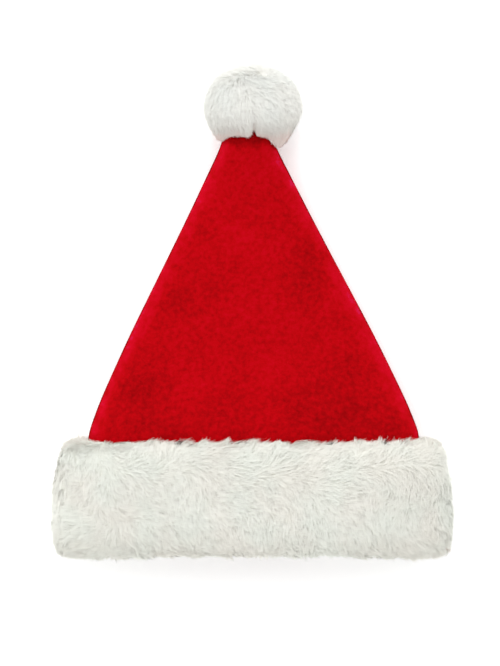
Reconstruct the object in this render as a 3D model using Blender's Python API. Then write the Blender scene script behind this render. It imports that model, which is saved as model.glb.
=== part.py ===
"""A plush santa hat that lies on its back: a red cloth crown of two panels, a deep fur brim and a fur pompom.

Metres, +Z up. +X runs across the hat, +Y from the mouth to the pompom, and the surface that it lies on is at
Z = 0. Fur is closed locks, laid in staggered rows like scales, on the band or ball that carries them.
"""

import math
import random
from collections import namedtuple

import bmesh
import bpy
import numpy as np

# The cloth cone, as it lies
MOUTH_WIDTH = 0.290
MOUTH_HEIGHT = 0.049
CROWN_WIDTH = 0.2815
CROWN_LENGTH = 0.2535
TIP_WIDTH = 0.0435
TIP_HEIGHT = 0.028
TIP_DEPTH = 0.016
CLOTH_WALL = 0.003
SIDE_BOW = 0.0048
SAG = 0.0215
LEAN = -0.0038
SEAM_DIP = 0.0012
GATHER_DEPTH = 0.0016
GATHER_COUNT = 8
GATHER_REACH = 0.25

# The fur brim
BRIM_LENGTH = 0.097
BRIM_SIDE_FUR = 0.0245
BRIM_TOP_FUR = 0.019
BRIM_UNDER_FUR = 0.014
BRIM_SQUASH = 0.007
BRIM_LOCK_LIFT = 0.0032
BRIM_LOCK_REACH = 0.0045
BRIM_LOCK_SWEEP = 0.55
BRIM_SIDE_DROOP = 0.0035
HEM_DEPTH = 0.012

# The fur ball
POMPOM_WIDTH = 0.080
POMPOM_LENGTH = 0.066
POMPOM_HEIGHT = 0.076
POMPOM_SQUASH = 0.0025
POMPOM_LOCK_LIFT = 0.0034
POMPOM_LOCK_REACH = 0.0042
POMPOM_RIM = 0.0035

# Places on the fur, as shares of the way over the brim from its top edge to its mouth, and over the ball
# from its top to its rim, with the least share of the fur's depth that the brim keeps at its edges
BRIM_FRINGE = 0.03
BRIM_PARTING = 0.27
BRIM_EDGE_DEPTH = 0.2
POMPOM_WHORL = 0.06
POMPOM_FRINGE = 0.88

# How high a lock stands at its root and its belly, as a share of its height at the tip
ROOT_LIFT = 0.12
BELLY_LIFT = 0.80
EDGE_LIFT = 0.25

# How far the closed end of the cloth is rounded off, outside and inside
TIP_ROUNDING = 0.8
TIP_INNER_ROUNDING = 0.7

# What lies between two pieces, and between the tip of one lock and the root of the next
CLEARANCE = 0.0003
LOCK_STEP = 0.0009

# How finely the forms are cut
CROWN_COLUMNS = 48
CROWN_RINGS = 16
BRIM_LOCKS = 30
BRIM_UP_ROWS = 2
BRIM_DOWN_ROWS = 4
POMPOM_LOCKS = 12
POMPOM_ROWS = 5
COLUMNS_PER_LOCK = 4
LOCK_SEED = 12

# How round each section is: 2 is an ellipse, more is squarer
CLOTH_ROUNDNESS = 2.0
BRIM_ROUNDNESS = 2.35
BRIM_UPPER_CORNER = 2.5
BRIM_MOUTH_CORNER = 4.0

# Places that follow from the sizes, from the mouth's edge to the pompom's top
BRIM_MOUTH_Y = -(BRIM_LENGTH + CROWN_LENGTH + POMPOM_LENGTH - POMPOM_RIM) / 2
BRIM_TOP_Y = BRIM_MOUTH_Y + BRIM_LENGTH
POMPOM_RIM_Y = BRIM_TOP_Y + CROWN_LENGTH
TIP_END_Y = POMPOM_RIM_Y + TIP_DEPTH
BRIM_SEAM_Z = BRIM_UNDER_FUR + MOUTH_HEIGHT / 2
POMPOM_Z = POMPOM_HEIGHT / 2
PANEL_COLUMNS = CROWN_COLUMNS // 2

# The cone between the brim (along 0) and the pompom (along 1). bow is a share of SIDE_BOW, thickness a share
# of the straight taper from mouth to tip, and sink a share of SAG.
CrownSection = namedtuple("CrownSection", "along bow thickness sink")
CROWN_SECTIONS = (
    CrownSection(0.00, 0.00, 1.00, 0.00),
    CrownSection(0.10, 0.74, 1.03, 0.42),
    CrownSection(0.22, 0.95, 1.06, 0.82),
    CrownSection(0.36, 1.00, 1.08, 1.00),
    CrownSection(0.50, 0.76, 1.08, 1.03),
    CrownSection(0.67, 0.44, 1.06, 1.00),
    CrownSection(0.80, 0.24, 1.04, 0.84),
    CrownSection(0.92, 0.10, 1.00, 0.44),
    CrownSection(1.00, 0.00, 1.00, 0.00),
)

# Dents in the upper face. along is a share of the crown's length, across of its half width there, turn in
# degrees from +X. reach and spread are half sizes as shares of CROWN_WIDTH, depth is one of MOUTH_HEIGHT.
Dent = namedtuple("Dent", "along across turn reach spread depth")
DENTS = (
    Dent(0.78, -0.10, -24, 0.10, 0.045, 0.050),
    Dent(0.63, 0.62, -66, 0.16, 0.060, 0.060),
    Dent(0.45, -0.70, 62, 0.15, 0.070, 0.060),
    Dent(0.33, 0.45, 20, 0.13, 0.050, 0.045),
    Dent(0.16, 0.58, -60, 0.17, 0.090, 0.060),
    Dent(0.14, -0.62, 66, 0.16, 0.080, 0.055),
)


def blend(first, second, share):
    return first + (second - first) * share


def column_at(rows, column, share):
    """Read one column of a table at a share along it, on a smooth curve that is level at both ends."""
    places = [row.along for row in rows]
    values = [getattr(row, column) for row in rows]
    last = len(rows) - 1
    index = 0
    while index < last - 1 and places[index + 1] < share:
        index += 1
    span = places[index + 1] - places[index]
    part = (share - places[index]) / span
    slopes = []
    for at in (index, index + 1):
        if at in (0, last):
            slopes.append(0.0)
        else:
            slopes.append((values[at + 1] - values[at - 1]) / (places[at + 1] - places[at - 1]) * span)
    rise = values[index + 1] - values[index]
    curve = 3 * rise - 2 * slopes[0] - slopes[1]
    twist = slopes[0] + slopes[1] - 2 * rise
    return values[index] + slopes[0] * part + curve * part**2 + twist * part**3


def rounded(angle, roundness):
    """A point on a unit superellipse."""
    across = math.cos(angle)
    up = math.sin(angle)
    power = 2 / roundness
    return math.copysign(abs(across) ** power, across), math.copysign(abs(up) ** power, up)


def crown_frame(y):
    """Half width, half height, middle X and seam height of the cloth at a place along the hat."""
    along = (y - BRIM_TOP_Y) / CROWN_LENGTH
    if along <= 0:
        half_width = blend(MOUTH_WIDTH, CROWN_WIDTH, 1 + along * CROWN_LENGTH / BRIM_LENGTH) / 2
        return half_width, MOUTH_HEIGHT / 2, 0.0, BRIM_SEAM_Z
    if along >= 1:
        return TIP_WIDTH / 2, TIP_HEIGHT / 2, LEAN, POMPOM_Z
    taper = blend(CROWN_WIDTH, TIP_WIDTH, along) / 2
    half_width = taper + SIDE_BOW * column_at(CROWN_SECTIONS, "bow", along)
    half_height = blend(MOUTH_HEIGHT, TIP_HEIGHT, along) / 2 * column_at(CROWN_SECTIONS, "thickness", along)
    seam = blend(BRIM_SEAM_Z, POMPOM_Z, along) - SAG * column_at(CROWN_SECTIONS, "sink", along)
    return half_width, half_height, LEAN * along, seam


def side_droop(x, y):
    """The mouth's edge hangs lowest at its two sides, and less so higher up the brim."""
    share = max(0.0, (BRIM_TOP_Y - y) / BRIM_LENGTH)
    return BRIM_SIDE_DROOP * share * (1 - (x / (MOUTH_WIDTH / 2)) ** 2)


def dent_depth(x, y):
    """How far the upper face lies below its smooth form."""
    depth = 0.0
    for dent in DENTS:
        dent_y = BRIM_TOP_Y + dent.along * CROWN_LENGTH
        half_width, _, middle, _ = crown_frame(dent_y)
        away_x = x - middle - dent.across * half_width
        away_y = y - dent_y
        turn = math.radians(dent.turn)
        length = (away_x * math.cos(turn) + away_y * math.sin(turn)) / (dent.reach * CROWN_WIDTH)
        width = (away_y * math.cos(turn) - away_x * math.sin(turn)) / (dent.spread * CROWN_WIDTH)
        depth += dent.depth * MOUTH_HEIGHT * math.exp(-(length**2) - width**2)
    return depth


def gather_depth(angle, y):
    """How far the pleats at the tip are drawn in."""
    share = ((y - POMPOM_RIM_Y) / CROWN_LENGTH + GATHER_REACH) / GATHER_REACH
    share = min(max(share, 0.0), 1.0)
    return GATHER_DEPTH * share**2 * (1 - math.cos(GATHER_COUNT * angle)) / 2


def cloth_point(angle, y, inset):
    """A point of the cloth's outer face, or of a face that lies inset behind it."""
    half_width, half_height, middle, seam = crown_frame(y)
    across, up = rounded(angle, CLOTH_ROUNDNESS)
    drawn = inset + gather_depth(angle, y)
    x = middle + (half_width - drawn) * across
    z = seam + (half_height - drawn) * up
    if up > 0 and y > BRIM_TOP_Y:
        z -= dent_depth(x, y) * up * min(1.0, (y - BRIM_TOP_Y) / HEM_DEPTH)
    z = max(z, inset)
    return x, y + side_droop(x, y), z


def cloth_row(side, y, inset, dip, shrink=1.0):
    """A panel's half of a ring of the cloth, from its seam on the right to the one on the left.

    side is 1 on the front panel and -1 on the back one. shrink draws the row in towards the middle of the
    ring, where the tip closes.
    """
    _, _, middle, seam = crown_frame(y)
    row = []
    for column in range(PANEL_COLUMNS + 1):
        x, shifted, z = cloth_point(side * math.pi * column / PANEL_COLUMNS, y, inset)
        gap = 0.0
        if column in (0, PANEL_COLUMNS):
            x -= math.copysign(dip, x - middle)
            gap = side * CLEARANCE / 2
        row.append((middle + (x - middle) * shrink, shifted, seam + (z - seam) * shrink + gap))
    return row


def panel_rings(side):
    """Rings of a panel from the mouth to the tip, each along its outer face and back along its inner one."""
    mouth_end = BRIM_MOUTH_Y + HEM_DEPTH + CLEARANCE
    places = [mouth_end, blend(mouth_end, BRIM_TOP_Y, 0.5)]
    places += [BRIM_TOP_Y + CROWN_LENGTH * step / (CROWN_RINGS - 1) for step in range(CROWN_RINGS)]
    outer = [cloth_row(side, y, 0.0, SEAM_DIP) for y in places]
    outer.append(cloth_row(side, TIP_END_Y - CLOTH_WALL, 0.0, SEAM_DIP))
    outer.append(cloth_row(side, TIP_END_Y, 0.0, 0.0, shrink=TIP_ROUNDING))
    inner = [cloth_row(side, y, CLOTH_WALL, 0.0) for y in places]
    inner.append(cloth_row(side, TIP_END_Y - 2 * CLOTH_WALL, CLOTH_WALL, 0.0))
    inner.append(cloth_row(side, TIP_END_Y - CLOTH_WALL, CLOTH_WALL, 0.0, shrink=TIP_INNER_ROUNDING))
    return [out + back[::-1] for out, back in zip(outer, inner)]


def close_panel(body, rows):
    """The panel's cut edge at the mouth, and the faces and the seam edge of its closed end at the tip."""
    mouth = rows[0]
    for index in range(PANEL_COLUMNS):
        body.faces.new((mouth[index], mouth[index + 1], mouth[-index - 2], mouth[-index - 1]))
    outer = rows[-1][:PANEL_COLUMNS + 1]
    inner = rows[-1][PANEL_COLUMNS + 1:]
    body.faces.new(outer)
    body.faces.new(inner)
    body.faces.new((outer[0], outer[-1], inner[0], inner[-1]))


# One line of vertices across the locks. at is its place along the nap, edge says whose tips it follows (a
# row index), reach how far it follows them and lift how high it stands.
LockLine = namedtuple("LockLine", "at row edge reach lift")


class Locks:
    """Staggered rows of locks, each lock with its own length and fullness."""

    def __init__(self, locks, rows, seed):
        chance = random.Random(seed)
        self.locks = locks
        self.columns = locks * COLUMNS_PER_LOCK
        self.lengths = [[chance.uniform(0.55, 1.35) for _ in range(locks)] for _ in range(rows)]
        self.fullness = [[chance.uniform(0.70, 1.25) for _ in range(locks)] for _ in range(rows)]

    def place(self, row, column):
        """The lock of a row that a column crosses, and how near the column is to its middle."""
        shifted = (column + (row % 2) * COLUMNS_PER_LOCK // 2) % self.columns
        lock = shifted // COLUMNS_PER_LOCK
        part = (shifted % COLUMNS_PER_LOCK) / COLUMNS_PER_LOCK
        return lock, (1 - math.cos(2 * math.pi * part)) / 2

    def reach(self, row, column):
        lock, middle = self.place(row, column)
        return self.lengths[row][lock] * (2 * middle - 1)

    def lift(self, row, column):
        lock, middle = self.place(row, column)
        return self.fullness[row][lock] * blend(EDGE_LIFT, 1.0, middle)


def lock_lines(start, end, rows, first_row, step):
    """Lines from the roots at start to the last tips at end: root, belly and tip of each row."""
    pitch = (end - start) / rows
    way = math.copysign(1, pitch)
    lines = []
    for index in range(rows):
        row = first_row + index
        root = start + index * pitch
        edge = row - 1 if index else None
        root_reach = 0.0 if edge is None else way
        lines.append(LockLine(root + way * step / 2, row, edge, root_reach, ROOT_LIFT))
        lines.append(LockLine(root + pitch * 0.5, row, row, EDGE_LIFT * way, BELLY_LIFT))
        lines.append(LockLine(root + pitch - way * step / 2, row, row, way, 1.0))
    return lines


def even_angles(half_width, half_height, roundness, count=1440):
    """Angles and shares of the way round a section, so that columns can be spaced evenly."""
    angles = np.linspace(0, 2 * math.pi, count + 1)
    points = np.array([rounded(angle, roundness) for angle in angles]) * (half_width, half_height)
    steps = np.hypot(*np.diff(points, axis=0).T)
    shares = np.concatenate(([0], np.cumsum(steps))) / steps.sum()
    return angles, shares


def brim_turns(count=900):
    """Turns, shares of the way and whole length of the brim's profile, from its top edge to its mouth."""
    turns = np.linspace(0, math.pi, count + 1)
    points = np.array([brim_profile(turn, 0.0) for turn in turns]) * (1, BRIM_SIDE_FUR)
    steps = np.hypot(*np.diff(points, axis=0).T)
    return turns, np.concatenate(([0], np.cumsum(steps))) / steps.sum(), steps.sum()


def brim_profile(turn, lift):
    """Place along the hat, and share of the fur's depth, on the brim's rounded outside."""
    corner = BRIM_UPPER_CORNER if turn < math.pi / 2 else BRIM_MOUTH_CORNER
    along, share = rounded(turn, corner)
    return (BRIM_TOP_Y + BRIM_MOUTH_Y) / 2 + (BRIM_LENGTH / 2 + lift) * along, share


def fur_point(angle, turn, lift):
    """A point of the brim's outside, with the locks there standing lift high."""
    y, share = brim_profile(turn, lift)
    share = max(share, BRIM_EDGE_DEPTH)
    half_width, half_height, middle, seam = crown_frame(y)
    across, up = rounded(angle, BRIM_ROUNDNESS)
    depth = BRIM_TOP_FUR if up > 0 else BRIM_UNDER_FUR + BRIM_SQUASH
    x = middle + (half_width + CLEARANCE + (BRIM_SIDE_FUR + lift) * share) * across
    z = seam + (half_height + CLEARANCE + (depth + lift) * share) * up
    return x, y + side_droop(x, y), max(z, 0.0)


def brim_rings():
    """Rings of the brim: its locks from top edge to mouth, the hem's roll and the face on the cloth."""
    locks = Locks(BRIM_LOCKS, BRIM_UP_ROWS + BRIM_DOWN_ROWS, LOCK_SEED)
    turns, shares, length = brim_turns()
    middle_angles, middle_shares = even_angles(
        MOUTH_WIDTH / 2 + BRIM_SIDE_FUR, MOUTH_HEIGHT / 2 + BRIM_TOP_FUR, BRIM_ROUNDNESS
    )
    step = LOCK_STEP / length
    rise = lock_lines(BRIM_PARTING - step, BRIM_FRINGE, BRIM_UP_ROWS, 0, step)
    fall = lock_lines(BRIM_PARTING + step, 1 - BRIM_FRINGE, BRIM_DOWN_ROWS, BRIM_UP_ROWS, step)
    rings = []
    for line in rise[::-1] + fall:
        ring = []
        for column in range(locks.columns):
            follow = 0.0 if line.edge is None else locks.reach(line.edge, column)
            at = line.at + line.reach * follow * BRIM_LOCK_REACH / length
            turn = float(np.interp(at, shares, turns))
            swept = abs(line.at - BRIM_PARTING) * length * BRIM_LOCK_SWEEP
            around = (2 * math.pi - swept / (MOUTH_WIDTH / 2)) / (2 * math.pi) + column / locks.columns
            angle = float(np.interp(around % 1.0, middle_shares, middle_angles))
            lift = BRIM_LOCK_LIFT * line.lift * locks.lift(line.row, column)
            ring.append(fur_point(angle, turn, lift))
        rings.append(ring)
    hem_y = BRIM_MOUTH_Y + HEM_DEPTH
    for y, inset in (
        (BRIM_MOUTH_Y + CLOTH_WALL, CLOTH_WALL),
        (hem_y, CLOTH_WALL),
        (hem_y, -CLEARANCE),
        (BRIM_TOP_Y - CLOTH_WALL, -CLEARANCE),
    ):
        ring = []
        for column in range(locks.columns):
            angle = 2 * math.pi * column / locks.columns
            ring.append(cloth_point(angle, y, inset))
        rings.append(ring)
    return rings


def tuft_point(angle, around, lift):
    """A point of the ball's outside: angle from its top, and the way around its length."""
    sides = math.sin(angle)
    x = (POMPOM_WIDTH / 2 + lift) * sides * math.cos(around)
    y = (POMPOM_LENGTH / 2 + lift) * math.cos(angle)
    z = (POMPOM_HEIGHT / 2 + POMPOM_SQUASH + lift) * sides * math.sin(around)
    return x, y, z


def pompom_rings():
    """Rings of the ball, from its top over its locks to the rim, and of the pocket for the crown's tip."""
    locks = Locks(POMPOM_LOCKS, POMPOM_ROWS, LOCK_SEED + 1)
    length = math.pi * POMPOM_LENGTH / 2
    step = LOCK_STEP / length
    middle_y = POMPOM_RIM_Y + POMPOM_LENGTH / 2 - POMPOM_RIM
    rings = [(0.0, middle_y + POMPOM_LENGTH / 2, POMPOM_Z)]
    for line in lock_lines(POMPOM_WHORL, POMPOM_FRINGE, POMPOM_ROWS, 0, step):
        ring = []
        for column in range(locks.columns):
            follow = 0.0 if line.edge is None else locks.reach(line.edge, column)
            at = line.at + line.reach * follow * POMPOM_LOCK_REACH / length
            around = 2 * math.pi * column / locks.columns
            lift = POMPOM_LOCK_LIFT * line.lift * locks.lift(line.row, column)
            x, y, z = tuft_point(at * math.pi, around, lift)
            rim_y = min(middle_y + y, POMPOM_RIM_Y)
            rim_x, _, rim_z = cloth_point(around, rim_y, -CLEARANCE - POMPOM_RIM)
            if at > 0.5 and math.hypot(x, z) < math.hypot(rim_x - LEAN, rim_z - POMPOM_Z):
                x = rim_x
                z = rim_z - POMPOM_Z
            ring.append((x, middle_y + y, max(POMPOM_Z + z, 0.0)))
        rings.append(ring)
    for y, inset in (
        (POMPOM_RIM_Y + POMPOM_RIM / 2, -CLEARANCE),
        (TIP_END_Y + CLEARANCE, -CLEARANCE),
    ):
        ring = []
        for column in range(locks.columns):
            ring.append(cloth_point(2 * math.pi * column / locks.columns, y, inset))
        rings.append(ring)
    rings.append((LEAN, TIP_END_Y + CLEARANCE, POMPOM_Z))
    return rings


def material(name, colour, roughness):
    made = bpy.data.materials.new(name)
    made.use_nodes = True
    shader = made.node_tree.nodes["Principled BSDF"]
    shader.inputs["Base Color"].default_value = (*colour, 1)
    shader.inputs["Roughness"].default_value = roughness
    shader.inputs["Metallic"].default_value = 0.0
    return made


def skin(name, rings, looped, finish, close=None):
    """One closed body over rings of points.

    A single point closes an end, looped joins the last ring to the first, and close adds the ends otherwise.
    """
    body = bmesh.new()
    rows = []
    for ring in rings:
        points = [ring] if isinstance(ring[0], float) else ring
        rows.append([body.verts.new(point) for point in points])
    pairs = list(zip(rows, rows[1:]))
    if looped:
        pairs.append((rows[-1], rows[0]))
    for first, second in pairs:
        count = max(len(first), len(second))
        for index in range(count):
            after = (index + 1) % count
            corners = []
            if len(first) > 1:
                corners += [first[index], first[after]]
            else:
                corners.append(first[0])
            if len(second) > 1:
                corners += [second[after], second[index]]
            else:
                corners.append(second[0])
            body.faces.new(corners)
    if close:
        close(body, rows)
    bmesh.ops.triangulate(body, faces=body.faces[:])
    bmesh.ops.recalc_face_normals(body, faces=body.faces[:])
    mesh = bpy.data.meshes.new(name)
    body.to_mesh(mesh)
    body.free()
    mesh.shade_smooth()
    mesh.materials.append(finish)
    made = bpy.data.objects.new(name, mesh)
    bpy.context.scene.collection.objects.link(made)


def make_crown():
    """The two panels, sewn together along the hat's sides and round the tip."""
    cloth = material("red_plush", (0.533, 0.003, 0.009), 0.95)
    skin("crown_front", panel_rings(1), False, cloth, close_panel)
    skin("crown_back", panel_rings(-1), False, cloth, close_panel)


def make_brim():
    fur = material("brim_fur", (0.79, 0.78, 0.71), 0.95)
    skin("fur_brim", brim_rings(), True, fur)


def make_pompom():
    fur = material("pompom_fur", (0.80, 0.80, 0.74), 0.95)
    skin("pompom", pompom_rings(), False, fur)


def clear_scene():
    for old in list(bpy.data.objects):
        bpy.data.objects.remove(old, do_unlink=True)


def main():
    clear_scene()
    make_crown()
    make_brim()
    make_pompom()


main()
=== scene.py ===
import math

import bpy
import numpy as np
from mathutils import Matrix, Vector
from mathutils.bvhtree import BVHTree
from mathutils.kdtree import KDTree


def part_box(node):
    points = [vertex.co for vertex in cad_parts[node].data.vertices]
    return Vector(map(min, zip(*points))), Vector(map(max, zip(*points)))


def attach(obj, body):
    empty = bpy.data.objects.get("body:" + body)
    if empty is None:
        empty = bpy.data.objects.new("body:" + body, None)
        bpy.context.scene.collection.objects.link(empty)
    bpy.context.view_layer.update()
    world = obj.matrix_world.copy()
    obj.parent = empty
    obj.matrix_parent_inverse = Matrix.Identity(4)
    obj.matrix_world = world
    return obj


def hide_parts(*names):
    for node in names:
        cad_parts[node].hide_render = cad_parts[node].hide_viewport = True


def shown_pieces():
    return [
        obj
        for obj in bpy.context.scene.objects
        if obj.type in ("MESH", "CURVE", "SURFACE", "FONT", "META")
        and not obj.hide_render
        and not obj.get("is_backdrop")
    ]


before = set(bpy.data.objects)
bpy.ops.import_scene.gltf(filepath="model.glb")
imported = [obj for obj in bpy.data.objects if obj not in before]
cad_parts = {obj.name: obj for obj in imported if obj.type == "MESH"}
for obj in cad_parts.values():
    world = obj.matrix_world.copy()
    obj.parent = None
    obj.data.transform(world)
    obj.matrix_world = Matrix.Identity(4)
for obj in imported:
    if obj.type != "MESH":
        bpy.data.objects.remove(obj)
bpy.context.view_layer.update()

brimLow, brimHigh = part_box("fur_brim")
pompomLow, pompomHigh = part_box("pompom")
mm = 0.001


# Shader maths: a socket that takes part in plain expressions, and one method that adds any other node.
class Wire:
    def __init__(self, board, socket):
        self.board = board
        self.socket = socket

    def maths(self, operation, first, second, clamp=False):
        settings = {"operation": operation, "use_clamp": clamp}
        return self.board.add("ShaderNodeMath", settings, {0: first, 1: second})

    def __add__(self, other):
        return self.maths("ADD", self, other)

    def __radd__(self, other):
        return self.maths("ADD", other, self)

    def __sub__(self, other):
        return self.maths("SUBTRACT", self, other)

    def __rsub__(self, other):
        return self.maths("SUBTRACT", other, self)

    def __mul__(self, other):
        return self.maths("MULTIPLY", self, other)

    def __rmul__(self, other):
        return self.maths("MULTIPLY", other, self)

    def kept(self):  # held between 0 and 1
        return self.maths("ADD", self, 0.0, clamp=True)


class Board:  # one material's node tree
    def __init__(self, name):
        self.material = bpy.data.materials.new(name)
        self.material.use_nodes = True
        self.tree = self.material.node_tree
        self.shader = self.tree.nodes["Principled BSDF"]

    def add(self, kind, settings, sockets, out=0):
        made = self.tree.nodes.new(kind)
        for key, value in settings.items():
            if key == "stops":
                self.setStops(made.color_ramp, value)
            else:
                setattr(made, key, value)
        for key, value in sockets.items():
            self.feed(made.inputs[key], value)
        return Wire(self, made.outputs[out])

    def feed(self, socket, value):
        if isinstance(value, Wire):
            self.tree.links.new(value.socket, socket)
        else:
            socket.default_value = value

    def setStops(self, ramp, stops):
        while len(ramp.elements) < len(stops):
            ramp.elements.new(0.5)
        for element, (place, colour) in zip(ramp.elements, stops):
            element.position = place
            element.color = colour

    def finish(self, constants, wires):
        for key, value in constants.items():
            self.shader.inputs[key].default_value = value
        for key, value in wires.items():
            self.feed(self.shader.inputs[key], value)
        return self.material


def mixed(board, share, first, second, blendType="MIX"):
    settings = {"data_type": "RGBA", "blend_type": blendType}
    return board.add("ShaderNodeMix", settings, {0: share, 6: first, 7: second}, out=2)


def noise(board, place, scale, detail, roughness):
    settings = {"noise_dimensions": "3D"}
    return board.add("ShaderNodeTexNoise", settings,
                     {"Vector": place, "Scale": scale, "Detail": detail, "Roughness": roughness})


def ramp(board, value, stops):
    return board.add("ShaderNodeValToRGB", {"stops": stops}, {0: value})


# root is a darker colour of painted shade deep in the fur, tip the colour at the strands' ends
brimFurLook = {"root": (0.80, 0.795, 0.745, 1), "tip": (0.955, 0.96, 0.92, 1),
               "paintedBounce": (0.86, 0.55, 0.53, 1), "warm": (0.99, 0.975, 0.95, 1),
               "cool": (0.975, 0.99, 0.965, 1), "patch": 26}
pompomFurLook = {"root": (0.80, 0.79, 0.755, 1), "tip": (0.965, 0.97, 0.945, 1),
                 "paintedBounce": (0.82, 0.56, 0.52, 1), "warm": (0.99, 0.985, 0.965, 1),
                 "cool": (0.98, 0.99, 0.975, 1), "patch": 30}


def furMaterial(name, look):
    board = Board(name)
    tone = board.add("ShaderNodeAttribute", {"attribute_name": "tone"}, {}, out=2)
    place = board.add("ShaderNodeTexCoord", {}, {}, out=3)
    patches = noise(board, place, look["patch"], 2, 0.5)
    tint = mixed(board, ramp(board, patches, [(0.38, (0, 0, 0, 1)), (0.62, (1, 1, 1, 1))]),
                 look["warm"], look["cool"])
    # the tone runs from root to tip along each strand, so the roots carry the painted shade
    shade = mixed(board, tone.kept(), look["root"], look["tip"])
    shade = mixed(board, (tone * -1).kept(), shade, look["paintedBounce"])  # where the tone is below 0, painted red bounce light from the plush beside it
    colour = mixed(board, 1.0, shade, tint, "MULTIPLY")
    return board.finish({"Roughness": 0.85, "Sheen Weight": 0.25, "Sheen Roughness": 0.4,
                         "Specular IOR Level": 0.2}, {"Base Color": colour})


# deep is the colour of the painted shade in the seam and the painted shadow under the pompom; paintedSheen is
# that of the painted sheen beside the side seams
plushLook = {"deep": (0.16, 0.0003, 0.0006, 1), "body": (0.42, 0.0007, 0.0030, 1),
             "light": (0.53, 0.0012, 0.0120, 1), "paintedSheen": (0.53, 0.012, 0.085, 1), "mottle": 250, "cloud": 26}


def plushMaterial(name, look):
    board = Board(name)
    tone = board.add("ShaderNodeAttribute", {"attribute_name": "tone"}, {}, out=2)
    place = board.add("ShaderNodeTexCoord", {}, {}, out=3)
    mottle = noise(board, place, look["mottle"], 3, 0.6)
    cloud = noise(board, place, look["cloud"], 2, 0.5)
    value = (tone * 0.62 + mottle * 0.62 + cloud * 0.30 - 0.29).kept()
    colour = ramp(board, value, [(0.05, look["deep"]), (0.42, look["body"]), (0.72, look["light"]),
                                 (1.0, look["paintedSheen"])])
    bump = board.add("ShaderNodeBump", {}, {"Strength": 0.5, "Distance": 0.0006, "Height": mottle})
    return board.finish({"Roughness": 0.95, "Sheen Weight": 0.12, "Sheen Roughness": 0.4,
                         "Sheen Tint": (1.0, 0.08, 0.24, 1), "Specular IOR Level": 0.04},
                        {"Base Color": colour, "Normal": bump})


backingLook = {"dark": (0.16, 0.002, 0.006, 1), "light": (0.36, 0.012, 0.022, 1), "rib": 900}


def backingMaterial(name, look):  # the cloth's wrong side, a fine knit
    board = Board(name)
    place = board.add("ShaderNodeTexCoord", {}, {}, out=3)
    rib = board.add("ShaderNodeTexWave", {"bands_direction": "X", "wave_type": "BANDS"},
                    {"Vector": place, "Scale": look["rib"] / 6, "Distortion": 1.5, "Detail": 2,
                     "Detail Scale": 3})
    ribTone = board.add("ShaderNodeRGBToBW", {}, {0: rib})
    cloud = noise(board, place, 30, 3, 0.5)
    value = (ribTone * 0.5 + cloud * 0.6 - 0.1).kept()
    colour = mixed(board, value, look["dark"], look["light"])
    bump = board.add("ShaderNodeBump", {}, {"Strength": 0.4, "Distance": 0.0004, "Height": ribTone})
    return board.finish({"Roughness": 0.95, "Specular IOR Level": 0.1},
                        {"Base Color": colour, "Normal": bump})


# Handling objects
def deselectAll():
    for one in bpy.context.selected_objects:
        one.select_set(False)


def activate(one):
    deselectAll()
    one.select_set(True)
    bpy.context.view_layer.objects.active = one


def applyModifier(one, kind, settings):
    activate(one)
    made = one.modifiers.new(kind.lower(), kind)
    for key, value in settings.items():
        setattr(made, key, value)
    bpy.ops.object.modifier_apply(modifier=made.name)


def copyOfNodes(nodes, name, merge=0.00005):  # the solids' own form, merged, as a start for a soft piece
    copies = []
    for node in nodes:
        made = bpy.data.objects.new(name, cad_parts[node].data.copy())
        bpy.context.scene.collection.objects.link(made)
        made.data.materials.clear()
        copies.append(made)
    deselectAll()
    for made in copies:
        made.select_set(True)
    bpy.context.view_layer.objects.active = copies[0]
    if len(copies) > 1:
        bpy.ops.object.join()
    made = copies[0]
    made.data.name = name
    activate(made)
    bpy.ops.object.mode_set(mode="EDIT")
    bpy.ops.mesh.select_all(action="SELECT")
    bpy.ops.mesh.remove_doubles(threshold=merge)
    bpy.ops.mesh.tris_convert_to_quads(face_threshold=math.radians(70), shape_threshold=math.radians(70))
    bpy.ops.object.mode_set(mode="OBJECT")
    return made


def treeOf(one):  # a search tree over an object's faces
    mesh = one.data
    corners = [tuple(face.vertices) for face in mesh.polygons]
    return BVHTree.FromPolygons([vertex.co.copy() for vertex in mesh.vertices], corners)


def vertexPlaces(mesh):
    places = np.empty(len(mesh.vertices) * 3)
    mesh.vertices.foreach_get("co", places)
    return places.reshape(-1, 3)


def setPlaces(mesh, places):
    mesh.vertices.foreach_set("co", places.ravel())
    mesh.update()


def vertexNormals(mesh):
    normals = np.empty(len(mesh.vertices) * 3)
    mesh.vertices.foreach_get("normal", normals)
    return normals.reshape(-1, 3)


def unit(vectors):
    return vectors / np.maximum(np.linalg.norm(vectors, axis=1, keepdims=True), 1e-9)


def drift(places, wavelength, seed):  # a smooth field between about -1 and 1
    chance = np.random.default_rng(seed)
    total = np.zeros(len(places))
    for _ in range(7):
        way = unit(chance.normal(size=(1, 3)))[0]
        length = wavelength * chance.uniform(0.7, 1.5)
        total += np.sin(places @ way * 2 * math.pi / length + chance.uniform(0, 2 * math.pi))
    return total / 2.6


def rise(values, start, over):  # from 0 at the start to 1 past it
    return np.clip((values - start) / over, 0, 1)


def fall(values, end, over):  # from 1 down to 0 at the end
    return np.clip((end - values) / over, 0, 1)


def swirlOf(spots, swirls):  # slow turns of the fur's direction, as seed, wavelength and degrees
    return sum(drift(spots, wavelength, seed) * math.radians(degrees) for seed, wavelength, degrees in swirls)


def turned(way, normals, swirl):  # a direction on the skin, turned about the skin's normal
    side = unit(np.cross(normals, way))
    return unit(way * np.cos(swirl)[:, None] + side * np.sin(swirl)[:, None])


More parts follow.
